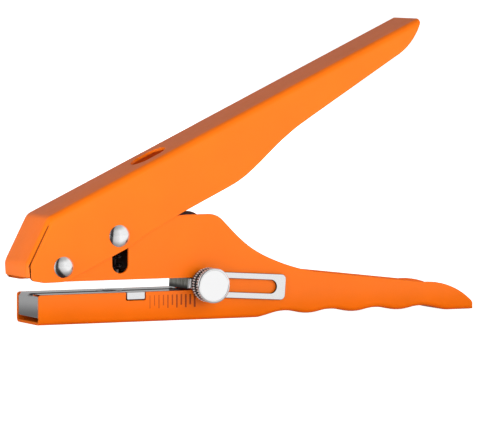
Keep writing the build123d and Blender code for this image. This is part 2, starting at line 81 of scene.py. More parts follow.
def crosswise(node):
    """A crosswise fitting's axis point in the middle plane, its near end and its far end."""
    centre = middle(node)
    centre[1] = 0.0
    return centre, low(node)[1], high(node)[1]


JAW_FRONT, NEAR_WALL = low("frame_shell")[:2]
SHEET = 1.2 * MM
INNER_FACE = -NEAR_WALL - SHEET
PLATE_TOP = high("die_plate")[2]
KNOB_RADIUS = (high("thumb_screw")[0] - low("thumb_screw")[0]) / 2
FIRST_MARK = JAW_FRONT + 49.0 * MM


# Sizes and colours
class PunchSizes(bpy.types.PropertyGroup):
    """The sizes that the dressed pieces are drawn to."""

    edge_round: bpy.props.FloatProperty(
        name="Edge rounding", description="Radius of the coat over the sheet's cut edges",
        default=0.22 * MM, min=0.0, subtype="DISTANCE", unit="LENGTH",
    )
    knurl_count: bpy.props.IntProperty(
        name="Knurl beads", description="Beads round each knurled band of the thumb screw",
        default=40, min=8, max=96,
    )
    knurl_depth: bpy.props.FloatProperty(
        name="Knurl depth", description="How deep the grooves between the beads are",
        default=0.6 * MM, min=0.0, subtype="DISTANCE", unit="LENGTH",
    )
    mark_count: bpy.props.IntProperty(
        name="Ruler marks", description="Marks printed beside the throat", default=11, min=1,
    )
    mark_pitch: bpy.props.FloatProperty(
        name="Mark pitch", description="Distance from one ruler mark to the next",
        default=2.0 * MM, subtype="DISTANCE", unit="LENGTH",
    )
    mark_width: bpy.props.FloatProperty(
        name="Mark width", description="Width of one printed ruler mark",
        default=0.42 * MM, subtype="DISTANCE", unit="LENGTH",
    )
    spring_wire: bpy.props.FloatProperty(
        name="Spring wire", description="Diameter of the return spring's wire",
        default=0.7 * MM, subtype="DISTANCE", unit="LENGTH",
    )
    spring_turns: bpy.props.FloatProperty(
        name="Spring turns", description="Open turns of the return spring", default=3.5, min=1.0,
    )


class PunchColours(bpy.types.PropertyGroup):
    """The colours of the finishes."""

    coat: bpy.props.FloatVectorProperty(
        name="Powder coat", description="Colour of the coated sheet",
        default=(0.93, 0.170, 0.002), subtype="COLOR", min=0.0, max=1.0,
    )
    chrome: bpy.props.FloatVectorProperty(
        name="Chrome", description="Colour of the plated fittings",
        default=(0.86, 0.86, 0.865), subtype="COLOR", min=0.0, max=1.0,
    )
    steel: bpy.props.FloatVectorProperty(
        name="Plated steel", description="Colour of the zinc-plated plates",
        default=(0.74, 0.74, 0.745), subtype="COLOR", min=0.0, max=1.0,
    )
    tool_steel: bpy.props.FloatVectorProperty(
        name="Tool steel", description="Colour of the punch and the die",
        default=(0.36, 0.36, 0.38), subtype="COLOR", min=0.0, max=1.0,
    )
    print_ink: bpy.props.FloatVectorProperty(
        name="Ruler ink", description="Colour of the printed ruler marks",
        default=(0.50, 0.078, 0.003), subtype="COLOR", min=0.0, max=1.0,
    )
    floor: bpy.props.FloatVectorProperty(
        name="Floor", description="Colour of the studio floor",
        default=(0.82, 0.82, 0.82), subtype="COLOR", min=0.0, max=1.0,
    )


def sizes():
    """The sizes that the scene holds."""
    return bpy.context.scene.punch_sizes


def colour(name):
    """One of the colours that the scene holds."""
    return tuple(getattr(bpy.context.scene.punch_colours, name))


# Surfaces
def ring_faces(rows, columns):
    """Quads between neighbouring points of a grid whose columns run all the way round."""
    row, column = np.meshgrid(np.arange(rows - 1), np.arange(columns), indexing="ij")
    beside = (column + 1) % columns
    quads = np.stack([
        row * columns + column, row * columns + beside,
        (row + 1) * columns + beside, (row + 1) * columns + column,
    ], axis=-1)
    return quads.reshape(-1, 4)


def make_piece(name, points, faces, smooth_angle=35.0):
    """One object from points and faces, merged where they meet and turned outwards."""
    mesh = bpy.data.meshes.new(name)
    mesh.from_pydata(np.reshape(points, (-1, 3)).tolist(), [], np.asarray(faces).tolist())
    built = bmesh.new()
    built.from_mesh(mesh)
    bmesh.ops.remove_doubles(built, verts=built.verts, dist=1e-6)
    bmesh.ops.dissolve_degenerate(built, dist=1e-7, edges=built.edges)
    bmesh.ops.recalc_face_normals(built, faces=built.faces)
    built.to_mesh(mesh)
    built.free()
    mesh.polygons.foreach_set("use_smooth", np.ones(len(mesh.polygons), bool))
    mesh.set_sharp_from_angle(angle=math.radians(smooth_angle))
    piece = bpy.data.objects.new(name, mesh)
    bpy.context.scene.collection.objects.link(piece)
    return piece


def turned(profile, axis_point, around, fall=None):
    """A profile of (place along y, radius) carried round a crosswise axis.

    A point is the axis point plus the place along y, plus the radius times the direction at an
    angle a, which is the cosine of a along x and minus the sine of a along z. fall, if given,
    is taken from the radius as a function of place, radius and angle.
    """
    along, radius = np.broadcast_to(
        np.transpose(profile)[:, :, None], (2, len(profile), around)
    )
    angle = np.arange(around) * TAU / around
    if fall is not None:
        radius = radius - fall(along, radius, angle)
    points = np.stack([radius * np.cos(angle), along, -radius * np.sin(angle)], axis=-1)
    return axis_point + points, ring_faces(len(profile), around)


# Shader nodes
def new_material(name):
    """An empty node material with its principled shader."""
    material = bpy.data.materials.new(name)
    material.use_nodes = True
    return material, material.node_tree, material.node_tree.nodes["Principled BSDF"]


def feed(tree, value, socket):
    """Links an output to an input, or sets the input to a number or a colour."""
    if isinstance(value, bpy.types.NodeSocket):
        tree.links.new(value, socket)
    else:
        socket.default_value = (*value, 1.0) if isinstance(value, tuple) else value


def feed_all(tree, node, values):
    """Feeds several inputs of a node, each by its name."""
    for name, value in values.items():
        feed(tree, value, node.inputs[name])


def places(tree, output="Object"):
    """The object coordinates, or the world's directions, split in three."""
    place = tree.nodes.new("ShaderNodeTexCoord")
    parts = tree.nodes.new("ShaderNodeSeparateXYZ")
    tree.links.new(place.outputs[output], parts.inputs["Vector"])
    return parts.outputs["X"], parts.outputs["Y"], parts.outputs["Z"]


def noise(tree, scale, detail=3.0, roughness=0.5, stretch=(1.0, 1.0, 1.0)):
    """Noise on object coordinates, stretched along an axis where a grain runs that way."""
    place = tree.nodes.new("ShaderNodeTexCoord")
    mapping = tree.nodes.new("ShaderNodeMapping")
    mapping.inputs["Scale"].default_value = stretch
    tree.links.new(place.outputs["Object"], mapping.inputs["Vector"])
    texture = tree.nodes.new("ShaderNodeTexNoise")
    feed_all(tree, texture, {
        "Vector": mapping.outputs["Vector"], "Scale": scale, "Detail": detail,
        "Roughness": roughness,
    })
    return texture.outputs["Fac"]


def calculate(tree, operation, *values):
    """A math node over numbers and outputs."""
    node = tree.nodes.new("ShaderNodeMath")
    node.operation = operation
    for value, socket in zip(values, node.inputs):
        feed(tree, value, socket)
    return node.outputs["Value"]


def times(tree, first, *others):
    """Values multiplied."""
    for other in others:
        first = calculate(tree, "MULTIPLY", first, other)
    return first


def spread(tree, value, low_value, high_value):
    """A value from 0 to 1 spread over another range."""
    node = tree.nodes.new("ShaderNodeMapRange")
    feed_all(tree, node, {"Value": value, "To Min": low_value, "To Max": high_value})
    return node.outputs["Result"]


def fade(tree, value, start, end, at_start, at_end):
    """A smooth step from one value to another while a value goes from start to end."""
    node = tree.nodes.new("ShaderNodeMapRange")
    node.interpolation_type = "SMOOTHSTEP"
    feed_all(tree, node, {
        "Value": value, "From Min": start, "From Max": end, "To Min": at_start, "To Max": at_end,
    })
    return node.outputs["Result"]


def rises(tree, value, start, end):
    """0 below the start and 1 above the end."""
    return fade(tree, value, start, end, 0.0, 1.0)


def falls(tree, value, start, end):
    """1 below the start and 0 above the end."""
    return fade(tree, value, start, end, 1.0, 0.0)


def ramp(tree, value, low_at, low_colour, high_at, high_colour):
    """A two-stop colour ramp over a value."""
    node = tree.nodes.new("ShaderNodeValToRGB")
    first, last = node.color_ramp.elements
    first.position, last.position = low_at, high_at
    first.color, last.color = (*low_colour, 1.0), (*high_colour, 1.0)
    tree.links.new(value, node.inputs["Fac"])
    return node.outputs["Color"]


def scaled(shade, factor):
    """A colour made lighter or darker by a factor."""
    return tuple(min(1.0, channel * factor) for channel in shade)


def blend(tree, factor, first, second):
    """One colour mixed over another by a factor."""
    mix = tree.nodes.new("ShaderNodeMix")
    mix.data_type = "RGBA"
    feed_all(tree, mix, {"Factor": factor, "A": first, "B": second})
    return mix.outputs["Result"]


def bump(tree, shader, height, strength, distance):
    """Bump from a height on the shader's normal."""
    node = tree.nodes.new("ShaderNodeBump")
    feed_all(tree, node, {"Height": height, "Strength": strength, "Distance": distance})
    tree.links.new(node.outputs["Normal"], shader.inputs["Normal"])


# Materials
def powder_coat(name, shaded, share):
    """Satin powder coat: a fine orange-peel bump, small changes of tone and of gloss.

    As shaded tells from 0 to 1, the colour falls to a share of itself: painted shade, in the
    recesses and seams that the mask marks.
    """
    material, tree, shader = new_material(name)
    coat = colour("coat")
    tone = ramp(tree, noise(tree, 60.0, 2.0), 0.3, scaled(coat, 0.97), 0.7, scaled(coat, 1.03))
    feed_all(tree, shader, {
        # painted shade: the coat's colour darkened where the mask is 1
        "Base Color": blend(tree, shaded(tree), tone, scaled(coat, share)),
        "Roughness": spread(tree, noise(tree, 400.0), 0.34, 0.44),
        "IOR": 1.4,
    })
    bump(tree, shader, noise(tree, 1700.0, 2.0), 0.12, 0.04 * MM)
    return material, tree, shader


def inside_upper_jaw(tree):
    """1 on the inner faces of the frame's walls above the throat, and 0 on the rest of it: where
    painted shade darkens the frame's coat.
    """
    x, y, z = places(tree)
    inner = falls(
        tree, calculate(tree, "ABSOLUTE", y), INNER_FACE + 0.02 * MM, INNER_FACE + 0.1 * MM
    )
    above_throat = rises(tree, z, 12.0 * MM, 14.0 * MM)
    ahead_of_handle = falls(tree, x, 40.0 * MM, 60.0 * MM)
    return times(tree, inner, above_throat, ahead_of_handle)


def frame_coat():
    """The frame's coat: painted shade deep inside the upper jaw, and less gloss low down, a
    painted stand-in for the shaded floor that it mirrors there.
    """
    material, tree, shader = powder_coat("orange_coat_frame", inside_upper_jaw, 0.02)
    # painted shade in the reflection: less gloss toward the bottom, where the coat mirrors the
    # floor close below
    gloss = fade(tree, places(tree)[2], 1.0 * MM, 12.0 * MM, 0.1, 0.5)
    tree.links.new(gloss, shader.inputs["Specular IOR Level"])
    return material


def flap_plane():
    """The outer plane of the lever's sloping flap: its normal and its distance from the origin."""
    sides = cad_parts["lever_shell"].data.polygons
    flap = max(
        (side for side in sides if side.normal[0] < -0.7 and side.normal[2] > 0.3),
        key=lambda side: side.area,
    )
    return tuple(flap.normal), flap.normal.dot(flap.center)


def beside_flap(tree):
    """1 in the lever's seam beside its flap, a band at a set depth behind the flap's plane: where
    painted shade darkens the coat.
    """
    x, y, z = places(tree)
    normal, distance = flap_plane()
    depth = calculate(
        tree, "MULTIPLY_ADD", x, -normal[0],
        calculate(tree, "MULTIPLY_ADD", z, -normal[2], distance),
    )
    behind = rises(tree, depth, 1.05 * MM, 1.2 * MM)
    ahead = falls(tree, depth, 1.4 * MM, 1.65 * MM)
    on_side = rises(tree, calculate(tree, "ABSOLUTE", y), 12.3 * MM, 12.6 * MM)
    below_top = falls(tree, z, 40.0 * MM, 41.0 * MM)
    return times(tree, behind, ahead, on_side, below_top)


def lever_coat():
    """The lever's coat, with painted shade in the seam beside the flap."""
    return powder_coat("orange_coat_lever", beside_flap, 0.2)[0]


def bare_edge():
    """Painted shade on the sheet's cut edges: nearly black, with a fine grain."""
    material, tree, shader = new_material("bare_edge")
    dark = scaled(colour("coat"), 0.03)
    feed_all(tree, shader, {
        "Base Color": ramp(tree, noise(tree, 900.0), 0.3, dark, 0.7, scaled(dark, 1.6)),
        "Roughness": 0.7,
        "Specular IOR Level": 0.1,
    })
    return material


def plated(name, metal, roughness, grain, stretch=(1.0, 1.0, 1.0)):
    """A metal with a faint grain in its tone, its bump and its roughness, from one to another."""
    material, tree, shader = new_material(name)
    texture = noise(tree, grain, 4.0, 0.6, stretch)
    tone = ramp(tree, texture, 0.25, scaled(metal, 0.93), 0.75, scaled(metal, 1.04))
    feed_all(tree, shader, {
        "Base Color": tone, "Metallic": 1.0, "Roughness": spread(tree, texture, *roughness),
    })
    bump(tree, shader, texture, 0.08, 0.02 * MM)
    return material, tree, shader, tone


def bright_chrome():
    """Polished chrome, on the rivets."""
    return plated("bright_chrome", colour("chrome"), (0.136, 0.2125), 250.0)[0]


def black_oxide():
    """Near-black steel on the fittings inside the upper jaw: a dark finish set there as painted
    shade.
    """
    return plated("black_oxide", (0.035, 0.034, 0.036), (0.256, 0.40), 1400.0)[0]


def tool_steel():
    """Ground tool steel, on the die ring and the punch's bush."""
    return plated("ground_tool_steel", colour("tool_steel"), (0.224, 0.35), 1400.0)[0]


def spring_steel():
    """Dark, oiled spring wire."""
    dark = scaled(colour("tool_steel"), 0.15)
    return plated("spring_wire", dark, (0.28, 0.4375), 2500.0)[0]


def guide_chrome():
    """Brushed chrome on the arm; the stop is painted dark as shade, with upright streaks of
    painted reflection, and near black at its foot as painted shadow.
    """
    material, tree, shader, arm = plated(
        "guide_chrome", scaled(colour("chrome"), 0.90), (0.18, 0.28), 700.0, (1.0, 12.0, 12.0)
    )
    _, y, z = places(tree)
    # painted shade: the stop, deep in the throat, is dark, with upright streaks standing in for
    # its reflections
    upright = noise(tree, 1900.0, 2.0, 0.6, (1.0, 1.0, 0.06))
    stop = ramp(tree, upright, 0.38, (0.13, 0.12, 0.09), 0.62, (0.42, 0.42, 0.38))
    # painted shadow: the stop's foot, close to the die plate, is made near black
    foot = middle("depth_guide")[2] + 0.6 * MM
    foot_shade = falls(tree, z, foot - 0.8 * MM, foot + 0.8 * MM)
    stop = blend(tree, foot_shade, stop, (0.02, 0.018, 0.016))
    within_walls = rises(tree, y, -11.4 * MM, -10.9 * MM)
    tree.links.new(blend(tree, within_walls, arm, stop), shader.inputs["Base Color"])
    return material


def plate_zinc():
    """Bright rolled zinc plate, with a near-black, non-metal strip along the top of its middle: a
    painted dark reflection.
    """
    material, tree, shader, tone = plated(
        "zinc_plate", colour("steel"), (0.096, 0.15), 500.0, (1.0, 9.0, 9.0)
    )
    _, y, z = places(tree)
    # painted reflection: a dark strip across the top of the plate's middle
    strip = times(
        tree, rises(tree, y, -4.5 * MM, -2.5 * MM), falls(tree, y, -0.5 * MM, 3.0 * MM),
        rises(tree, z, PLATE_TOP - 1.5 * MM, PLATE_TOP - 0.5 * MM),
    )
    feed_all(tree, shader, {
        "Base Color": blend(tree, strip, tone, (0.06, 0.06, 0.065)),
        "Metallic": spread(tree, strip, 1.0, 0.0),
        "Specular IOR Level": 0.0,
    })
    return material


def knurled_chrome():
    """Bright chrome whose hollows, nearer the screw's axis than the beads' tops, are painted dark
    as shade.
    """
    material, tree, shader = new_material("knurled_chrome")
    x, y, z = places(tree)
    centre, face, _ = crosswise("thumb_screw")
    right = calculate(tree, "SUBTRACT", x, centre[0])
    above = calculate(tree, "SUBTRACT", z, centre[2])
    square = calculate(tree, "ADD", times(tree, right, right), times(tree, above, above))
    radius = calculate(tree, "SQRT", square)
    hollow_shade = falls(tree, radius, KNOB_RADIUS - 0.6 * MM, KNOB_RADIUS - 0.1 * MM)
    behind_face = rises(tree, y, face + 0.7 * MM, face + 0.8 * MM)
    # behind the face the beads are pale and a little cool: a painted tint that offsets the orange
    # light the wall bounces onto them
    tone = blend(tree, behind_face, colour("chrome"), (0.70, 0.75, 0.76))
    feed_all(tree, shader, {
        # painted shade: the hollows between the beads are made near black
        "Base Color": blend(tree, times(tree, hollow_shade, behind_face), tone, (0.02, 0.02, 0.02)),
        "Metallic": spread(tree, behind_face, 1.0, 0.1),
        "Roughness": spread(tree, noise(tree, 250.0), 0.10, 0.16),
    })
    return material


def ruler_ink():
    """Thin printed ink, paler and more worn toward the punch, a little uneven on the coat."""
    material, tree, shader = new_material("ruler_ink")
    ink = colour("print_ink")
    grain = noise(tree, 3500.0)
    worn = ramp(tree, grain, 0.35, ink, 0.75, scaled(ink, 1.35))
    full = ramp(tree, grain, 0.35, scaled(ink, 0.5), 0.75, scaled(ink, 0.8))
    kept = rises(tree, places(tree)[0], FIRST_MARK, FIRST_MARK + 18.0 * MM)
    feed_all(tree, shader, {
        "Base Color": blend(tree, kept, worn, full), "Roughness": 0.45, "IOR": 1.36,
    })
    return material


MADE = {}


def finished(maker):
    """The material of a finish, made when it is first asked for."""
    if maker not in MADE:
        MADE[maker] = maker()
    return MADE[maker]


def finish(piece, maker):
    """Gives a piece one of the finishes, in place of any that it has."""
    piece.data.materials.clear()
    piece.data.materials.append(finished(maker))


# Solids that stay in view
NODE_FINISHES = {
    # the fittings inside the upper jaw get the near-black finish as painted shade
    "die_ring": tool_steel, "guide_bracket": black_oxide, "guide_bush": tool_steel,
    "pivot_spacer": black_oxide, "clamp_nut": plate_zinc, "pivot_washer": plate_zinc,
    "drive_washer": plate_zinc, "punch_pin": black_oxide,
}


class PUNCH_OT_solids(bpy.types.Operator):
    """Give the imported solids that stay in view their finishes"""

    bl_idname = "punch.solids"
    bl_label = "Finish the solids"

    def execute(self, context):
        for node, maker in NODE_FINISHES.items():
            finish(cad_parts[node], maker)
        return {"FINISHED"}


# Folded sheets
FLAT_ANGLE = math.radians(0.6)
CUT_ANGLE = math.radians(30.0)
SPARED_REACH = 2.0 * MM
STOP_DROP = 0.3 * MM

# Places in millimetres that keep sharp edges: where a fold meets a cut, at the floor's inner
# bend, the seam's top and the guide's fold, and where two cuts lie close together, at the
# throat's end and the screw's hole
FLOOR_BEND = [(61.0, side * 10.5, 1.4) for side in (-1, 1)]
SEAM_TOP = [(-31.9, side * 12.6, 40.6) for side in (-1, 1)]
ARM_FOLD = [(31.8, -12.6, 17.2), (31.5, -12.6, 13.2)]
THROAT_END = [
    (x, side * 11.4, z) for side in (-1, 1)
    for x, z in ((34.6, 12.9), (35.1, 14.9), (34.6, 16.9), (37.4, 14.65))
]
FOLDED_SHEETS = (
    # piece, node, finish, body, material slot, spared places
    ("frame_folded", "frame_shell", frame_coat, "frame", "orange_paint",
     FLOOR_BEND + THROAT_END),
    ("lever_folded", "lever_shell", lever_coat, "lever", "orange_paint", SEAM_TOP),
    ("die_plate_folded", "die_plate", plate_zinc, "frame", "plated_steel", []),
    ("depth_guide_folded", "depth_guide", guide_chrome, "guide", "chrome", ARM_FOLD),
)


def round_edged(name, node, width, spared):
    """A copy of a solid with its flat faces made whole and its cut edges rounded.

    An edge is rounded where its faces meet outwards at more than the cut angle, apart from
    those near a spared place, where the sheet leaves no room for it. Faces of more than four
    corners are cut into triangles last, so that a face with a hole keeps its hole.
    """
    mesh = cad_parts[node].data.copy()
    mesh.name = name
    built = bmesh.new()
    built.from_mesh(mesh)
    bmesh.ops.remove_doubles(built, verts=built.verts, dist=1e-7)
    bmesh.ops.dissolve_limit(
        built, angle_limit=FLAT_ANGLE, verts=built.verts, edges=built.edges
    )
    turn = np.array([side.calc_face_angle_signed(0.0) for side in built.edges])
    place = np.array([(side.verts[0].co + side.verts[1].co) / 2 for side in built.edges])
    built.to_mesh(mesh)
    built.free()
    rounded = turn > CUT_ANGLE
    for spot in spared:
        rounded &= np.linalg.norm(place - np.array(spot) * MM, axis=1) > SPARED_REACH
    weight = mesh.attributes.new("bevel_weight_edge", "FLOAT", "EDGE")
    weight.data.foreach_set("value", rounded.astype(np.float32))
    mesh.polygons.foreach_set("use_smooth", np.ones(len(mesh.polygons), bool))
    mesh.set_sharp_from_angle(angle=CUT_ANGLE)
    piece = bpy.data.objects.new(name, mesh)
    bpy.context.scene.collection.objects.link(piece)
    edge = piece.modifiers.new("edge", "BEVEL")
    edge.width = width
    edge.segments = 3
    edge.limit_method = "WEIGHT"
    edge.harden_normals = True
    edge.use_clamp_overlap = False
    cut = piece.modifiers.new("triangles", "TRIANGULATE")
    cut.min_vertices = 5
    cut.keep_custom_normals = True
    return piece


def darken_cuts(piece, most_x=math.inf):
    """Painted shade, a nearly black finish, on the cut edges that lie outside the frame's walls.

    A face is a cut where its normal lies nearly along the walls. With a most x given, cuts
    whose normal has more keep their coat, because they don't look forward into the seam.
    """
    piece.data.materials.append(finished(bare_edge))
    sides = piece.data.polygons
    centre, normal = np.empty(len(sides) * 3), np.empty(len(sides) * 3)
    sides.foreach_get("center", centre)
    sides.foreach_get("normal", normal)
    centre, normal = centre.reshape(-1, 3), normal.reshape(-1, 3)
    outside = np.abs(centre[:, 1]) > -NEAR_WALL + 0.25 * MM
    cut = outside & (np.abs(normal[:, 1]) < 0.2) & (normal[:, 0] < most_x)
    sides.foreach_set("material_index", cut.astype(np.int32))


def lower_stop(piece):
    """Brings the lower edge of the stop, inside the walls, nearer the die plate by a drop."""
    points = np.empty(len(piece.data.vertices) * 3)
    piece.data.vertices.foreach_get("co", points)
    points = points.reshape(-1, 3)
    foot = (points[:, 1] > -10.0 * MM) & (points[:, 2] < PLATE_TOP + 0.8 * MM)
    points[foot, 2] -= STOP_DROP
    piece.data.vertices.foreach_set("co", points.ravel())
    piece.data.update()


class PUNCH_OT_sheets(bpy.types.Operator):
    """Round and finish the cut edges of the folded sheets"""

    bl_idname = "punch.sheets"
    bl_label = "Make the folded sheets"

    def execute(self, context):
        for name, node, maker, body, slot, spared in FOLDED_SHEETS:
            piece = round_edged(name, node, sizes().edge_round, spared)
            finish(piece, maker)
            if node == "lever_shell":
                darken_cuts(piece, most_x=-0.4)
            if node == "depth_guide":
                lower_stop(piece)
                darken_cuts(piece)
            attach(piece, body)
            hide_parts(node)
        return {"FINISHED"}


# Rivets
RIVETS = (
    # piece, node, radius of the head, radius of the shank
    ("pivot_rivet_dome", "pivot_rivet", 4.3 * MM, 2.0 * MM),
    ("drive_rivet_dome", "drive_rivet", 4.5 * MM, 1.5 * MM),
)
HEAD_HEIGHT = 2.1 * MM
HEAD_EDGE = 0.2 * MM
EDGE_CHAMFER = 0.08 * MM
ROLL_HEIGHT = 0.8 * MM
ROLL_WIDTH = 1.3 * MM
DIMPLE_DEPTH = 0.55 * MM


def rivet(name, node, head_radius, shank_radius):
    """A domed head on the near side, a shank, and a rolled end with a dimple on the far side.

    The head is a cap of a ball, whose radius is the squares of the head's radius and of the
    cap's height added up, over twice the height. A low straight edge stands under it. The roll
    is half an ellipse, and the dimple falls with the cosine of a quarter turn.
    """
    centre, near, far = crosswise(node)
    seat = near + HEAD_HEIGHT
    cap = HEAD_HEIGHT - HEAD_EDGE
    ball = (head_radius**2 + cap**2) / (2 * cap)
    turn = np.linspace(0.0, math.asin(head_radius / ball), 20)
    head = np.stack([near + ball * (1 - np.cos(turn)), ball * np.sin(turn)], axis=1)
    crest = shank_radius + ROLL_WIDTH / 2
    half_turn = np.linspace(-math.pi / 2, math.pi / 2, 9)
    roll = np.stack([
        far - ROLL_HEIGHT / 2 + ROLL_HEIGHT / 2 * np.sin(half_turn),
        crest + ROLL_WIDTH / 2 * np.cos(half_turn),
    ], axis=1)
    share = np.linspace(0.0, 1.0, 6)[1:]
    dimple = np.stack([far - DIMPLE_DEPTH * share, crest * np.cos(share * math.pi / 2)], axis=1)
    profile = np.vstack([
        head,
        [[seat - EDGE_CHAMFER, head_radius], [seat, head_radius - EDGE_CHAMFER]],
        [[seat, shank_radius], [far - ROLL_HEIGHT, shank_radius], [far - ROLL_HEIGHT, crest]],
        roll,
        dimple,
    ])
    return make_piece(name, *turned(profile, centre, 72))


class PUNCH_OT_rivets(bpy.types.Operator):
    """Make the two domed rivets"""

    bl_idname = "punch.rivets"
    bl_label = "Make the rivets"

    def execute(self, context):
        for name, node, head, shank in RIVETS:
            piece = rivet(name, node, head, shank)
            finish(piece, bright_chrome)
            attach(piece, "lever")
            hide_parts(node)
        return {"FINISHED"}


# Thumb screw, each outline in millimetres behind its face and inside its largest radius
RIM_OUTLINE = (
    (0.12, 1.0), (0.0, 0.85), (0.0, 0.6), (0.08, 0.45), (0.42, 0.1), (0.6, 0.0), (0.85, 0.02),
    (0.95, 0.12), (1.0, 0.95),
)
BEAD_RINGS = ((1.1, 3.2), (4.8, 7.2))
BEAD_HEIGHT = 0.95
BACK_OUTLINE = ((7.5, 0.95), (7.6, 0.5), (8.15, 0.5), (8.3, 0.65))
COLLAR_HEIGHT = 0.5 * MM
COLLAR_RADIUS = 3.6 * MM
SHANK_RADIUS = 1.5 * MM
SHANK_CHAMFER = 0.3 * MM
BEAD_SHARPNESS = 1.4
POINTS_A_BEAD = 8


def knob():
    """The thumb screw: a flat face, a chamfer, two rings of beads with a groove, a shank.

    A ring's outline is half an ellipse along the axis. Round the axis its radius falls by the
    knurl's depth times a power of half of one minus the cosine of the angle times the count.
    """
    centre, near, far = crosswise("thumb_screw")
    count, depth = sizes().knurl_count, sizes().knurl_depth
    outer, height = KNOB_RADIUS, BEAD_HEIGHT * MM
    rings = [(near + start * MM, near + end * MM) for start, end in BEAD_RINGS]
    half_turn = np.linspace(0.0, math.pi, 15)
    beads = [
        np.stack([
            (start + end) / 2 - (end - start) / 2 * np.cos(half_turn),
            outer - height + height * np.sin(half_turn),
        ], axis=1)
        for start, end in rings
    ]
    rim, back = (
        [[near + behind * MM, outer - inside * MM] for behind, inside in outline]
        for outline in (RIM_OUTLINE, BACK_OUTLINE)
    )
    base = back[-1][0]
    profile = np.vstack([
        [[rim[0][0], 0.0]], rim, *beads, back,
        [[base, COLLAR_RADIUS], [base + COLLAR_HEIGHT, COLLAR_RADIUS]],
        [[base + COLLAR_HEIGHT, SHANK_RADIUS], [far - SHANK_CHAMFER, SHANK_RADIUS]],
        [[far, SHANK_RADIUS - SHANK_CHAMFER], [far, 0.0]],
    ])

    def between_beads(along, radius, angle):
        """The fall in radius between the beads, on the rings alone and nothing at their feet."""
        inside = sum((along >= start) & (along <= end) for start, end in rings)
        rise = np.clip((radius - outer + height) / height, 0.0, 1.0) * inside
        return depth * rise * (0.5 - 0.5 * np.cos(angle * count)) ** BEAD_SHARPNESS

    return make_piece(
        "thumb_screw_knurled",
        *turned(profile, centre, POINTS_A_BEAD * count, between_beads), 30.0
    )


class PUNCH_OT_knob(bpy.types.Operator):
    """Make the knurled thumb screw"""

    bl_idname = "punch.knob"
    bl_label = "Make the thumb screw"

    def execute(self, context):
        piece = knob()
        finish(piece, knurled_chrome)
        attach(piece, "screw")
        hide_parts("thumb_screw")
        return {"FINISHED"}


# Return spring
POINTS_A_TURN = 40
WIRE_SIDES = 10


def coil():
    """The return spring's wire, a tube round a helix, closed at both ends.

    The helix climbs evenly from one end of the spring to the other. A point of the wire is a
    point of the helix, plus the wire's radius times the cosine of an angle outwards from the
    axis and its sine along the cross product of the heading and that outward direction.
    """
    wire, turns = sizes().spring_wire / 2, sizes().spring_turns
    (left, _, bottom), (right, _, top) = low("return_spring"), high("return_spring")
    mean = (right - left) / 2 - wire
    along = np.linspace(0.0, turns, int(turns * POINTS_A_TURN) + 1)
    angle = TAU * along
    rise = bottom + wire + along / turns * (top - bottom - 2 * wire)
    path = np.stack([mean * np.cos(angle), mean * np.sin(angle), rise], axis=1)
    heading = np.gradient(path, axis=0)
    heading /= np.linalg.norm(heading, axis=1)[:, None]
    outward = np.stack([np.cos(angle), np.sin(angle), 0 * angle], axis=1)
    upward = np.cross(heading, outward)
    around = np.arange(WIRE_SIDES)[None, :, None] * TAU / WIRE_SIDES
    tube = path[:, None] + wire * (
        np.cos(around) * outward[:, None] + np.sin(around) * upward[:, None]
    )
    ends = np.repeat(path[[0, -1], None], WIRE_SIDES, axis=1)
    rows = np.concatenate([ends[:1], tube, ends[1:]])
    return make_piece("return_spring_wire", rows, ring_faces(len(rows), WIRE_SIDES), 50.0)


class PUNCH_OT_spring(bpy.types.Operator):
    """Make the return spring round the punch"""

    bl_idname = "punch.spring"
    bl_label = "Make the return spring"

    def execute(self, context):
        piece = coil()
        finish(piece, spring_steel)
        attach(piece, "frame")
        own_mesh(piece)
        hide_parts("return_spring")
        return {"FINISHED"}


# Ruler marks
INK_FILM = 0.02 * MM
LONG_FOOT = 5.4 * MM
SHORT_FOOT = 6.5 * MM
MARK_TOP = 10.8 * MM
FIRST_HALF_WIDTH = 0.42
WIDER_EACH_MARK = 0.05
BOX_FACES = np.array([
    [0, 1, 2, 3], [7, 6, 5, 4], [0, 4, 5, 1], [1, 5, 6, 2], [2, 6, 7, 3], [3, 7, 4, 0],
])


def marks():
    """The printed marks: thin boxes in the near wall's face, long and short by turns.

    Half a mark's width is the marks' width times a share, which grows from mark to mark.
    """
    index = np.arange(sizes().mark_count)[:, None]
    x = FIRST_MARK + index * sizes().mark_pitch
    half = sizes().mark_width * (FIRST_HALF_WIDTH + WIDER_EACH_MARK * index)
    foot = np.where(index % 2 == 0, LONG_FOOT, SHORT_FOOT)
    side = np.array([-1, 1, 1, -1] * 2)
    at_top = np.array([False, False, True, True] * 2)
    inward = np.repeat([-1, 1], 4)
    corners = np.stack(np.broadcast_arrays(
        x + side * half, NEAR_WALL + inward * INK_FILM, np.where(at_top, MARK_TOP, foot)
    ), axis=-1)
    return make_piece("ruler_marks", corners, (BOX_FACES + 8 * index[:, :, None]).reshape(-1, 4))


class PUNCH_OT_marks(bpy.types.Operator):
    """Print the ruler marks beside the throat"""

    bl_idname = "punch.marks"
    bl_label = "Print the ruler marks"

    def execute(self, context):
        piece = marks()
        finish(piece, ruler_ink)
        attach(piece, "frame")
        return {"FINISHED"}


# Studio
MIDDLE = np.array([60.0, 0.0, 45.0]) * MM
SOFT_BOXES = (
    # name, degrees round from the front, degrees up, distance, width, height, radiance
    ("front_box", 20.0, 17.0, 2.3, 3.8, 1.2, 3.1),
    ("left_box", -84.0, 9.0, 1.1, 0.9, 0.34, 4.4),
    ("rear_box", 125.0, 10.0, 1.6, 1.8, 0.6, 3.0),
    ("back_box", 163.0, 18.0, 2.4, 2.2, 1.2, 0.34),
)
